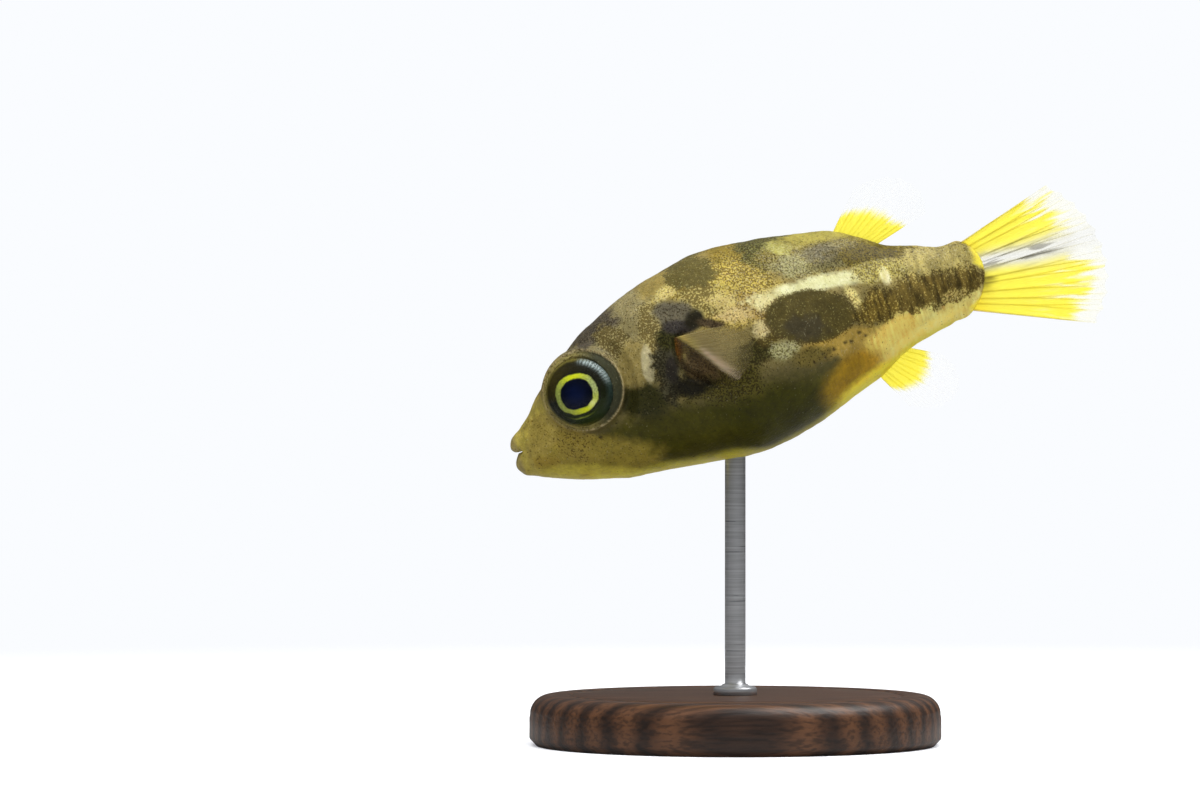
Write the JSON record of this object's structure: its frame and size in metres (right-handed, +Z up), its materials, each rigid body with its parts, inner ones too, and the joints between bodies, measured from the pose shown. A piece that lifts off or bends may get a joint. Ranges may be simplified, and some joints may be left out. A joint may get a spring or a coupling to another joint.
{
  "type": "freshwater pufferfish",
  "caption": "Small freshwater pufferfish swimming nose-down, as a still museum model held by one rod on a round display base.",
  "frame": {"origin": "on the surface the base stands on, under the middle of the model's bounding box", "axes": "+Z up, the head points to -X and the tail to +X, the left flank faces -Y"},
  "size_m": [0.0261, 0.018, 0.0248],
  "materials": {
    "skin": "moist mottled olive and tan skin with dark blotches",
    "fin_yellow": "thin yellow fin web, clear towards its rim",
    "fin_clear": "thin smoky see-through fin web",
    "eye": "wet glossy eyeball, dark with a yellow ring round the pupil",
    "base_wood": "dark walnut, satin lacquer",
    "rod_steel": "fine brushed stainless steel"
  },
  "bodies": {
    "root": {"snout": "skin", "head": "skin", "trunk": "skin", "tail_stalk": "skin", "eye_left": "eye", "eye_right": "eye", "dorsal_fin": "fin_yellow", "anal_fin": "fin_yellow", "caudal_fin": "fin_yellow", "pectoral_fin_left": "fin_clear", "pectoral_fin_right": "fin_clear", "stand_base": "base_wood", "stand_rod": "rod_steel"}
  },
  "joints": []
}
